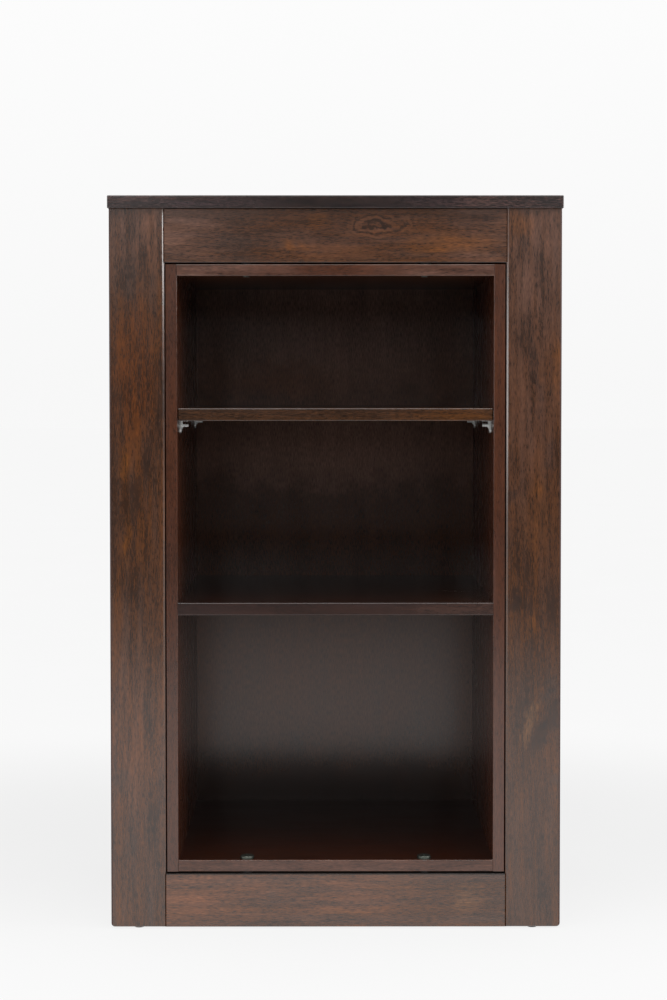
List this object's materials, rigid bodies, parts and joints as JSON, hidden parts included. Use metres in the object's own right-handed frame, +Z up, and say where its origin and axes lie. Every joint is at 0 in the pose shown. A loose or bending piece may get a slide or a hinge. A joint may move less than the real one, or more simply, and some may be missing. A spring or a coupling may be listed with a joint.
{
  "type": "bookcase",
  "caption": "Open-front bookcase with a wide wooden face frame around an inner case that has a fixed shelf and an adjustable shelf on metal supports.",
  "frame": {"origin": "on the floor under the centre of the top board", "axes": "+X to the right seen from the front, +Y to the back, +Z up, so the open front faces -Y"},
  "size_m": [0.61, 0.4, 0.988],
  "materials": {
    "top_wood": "dark stained, semi-gloss lacquer",
    "frame_wood": "dark brown stain, semi-gloss lacquer",
    "side_wood": "dark brown stained veneer, semi-gloss lacquer",
    "case_wood": "dark reddish brown stain, semi-gloss lacquer",
    "shelf_wood": "dark brown stain, semi-gloss lacquer",
    "back_panel_wood": "dark stained veneer in front, bare behind",
    "hidden_wood": "bare sawn wood",
    "dowel_wood": "bare beech",
    "screw_steel": "zinc plated",
    "bolt_metal": "dark antique plated",
    "insert_brass": "plain",
    "support_zinc": "bright nickel plated die casting",
    "glide_plastic": "moulded black",
    "spacer_plastic": "moulded black"
  },
  "bodies": {
    "carcass": {"back_panel": "back_panel_wood", "back_panel_screws": "screw_steel", "bearer_screws": "screw_steel", "bolt_inserts": "insert_brass", "bottom_rail": "frame_wood", "case_bottom": "case_wood", "case_left_side": "case_wood", "case_right_side": "case_wood", "case_screws": "screw_steel", "case_top": "case_wood", "fixed_shelf": "shelf_wood", "floor_glide_front_left": "glide_plastic", "floor_glide_front_right": "glide_plastic", "floor_glide_rear_left": "glide_plastic", "floor_glide_rear_right": "glide_plastic", "frame_bolts": "bolt_metal", "gap_spacers": "spacer_plastic", "glide_nails": "screw_steel", "left_case_bearer": "hidden_wood", "left_outer_side": "side_wood", "left_rear_post": "hidden_wood", "left_stile": "frame_wood", "left_top_cleat": "hidden_wood", "rail_dowels": "dowel_wood", "rear_bottom_rail": "hidden_wood", "rear_rail_dowels": "dowel_wood", "rear_top_rail": "hidden_wood", "right_case_bearer": "hidden_wood", "right_outer_side": "side_wood", "right_rear_post": "hidden_wood", "right_stile": "frame_wood", "right_top_cleat": "hidden_wood", "top_board": "top_wood", "top_board_screws": "screw_steel", "top_rail": "frame_wood"},
    "adjustable_shelf": {"adjustable_shelf": "shelf_wood"},
    "shelf_support_front_left": {"shelf_support_front_left": "support_zinc"},
    "shelf_support_front_right": {"shelf_support_front_right": "support_zinc"},
    "shelf_support_rear_left": {"shelf_support_rear_left": "support_zinc"},
    "shelf_support_rear_right": {"shelf_support_rear_right": "support_zinc"}
  },
  "joints": [
    {"name": "adjustable_shelf_draw_out", "type": "slide", "parent": "carcass", "child": "adjustable_shelf", "axis": [0, -1, 0], "range_m": [0, 0.38]},
    {"name": "shelf_support_front_left_pull_out", "type": "slide", "parent": "carcass", "child": "shelf_support_front_left", "axis": [1, 0, 0], "range_m": [0, 0.01]},
    {"name": "shelf_support_front_right_pull_out", "type": "slide", "parent": "carcass", "child": "shelf_support_front_right", "axis": [-1, 0, 0], "range_m": [0, 0.01]},
    {"name": "shelf_support_rear_left_pull_out", "type": "slide", "parent": "carcass", "child": "shelf_support_rear_left", "axis": [1, 0, 0], "range_m": [0, 0.01]},
    {"name": "shelf_support_rear_right_pull_out", "type": "slide", "parent": "carcass", "child": "shelf_support_rear_right", "axis": [-1, 0, 0], "range_m": [0, 0.01]}
  ]
}
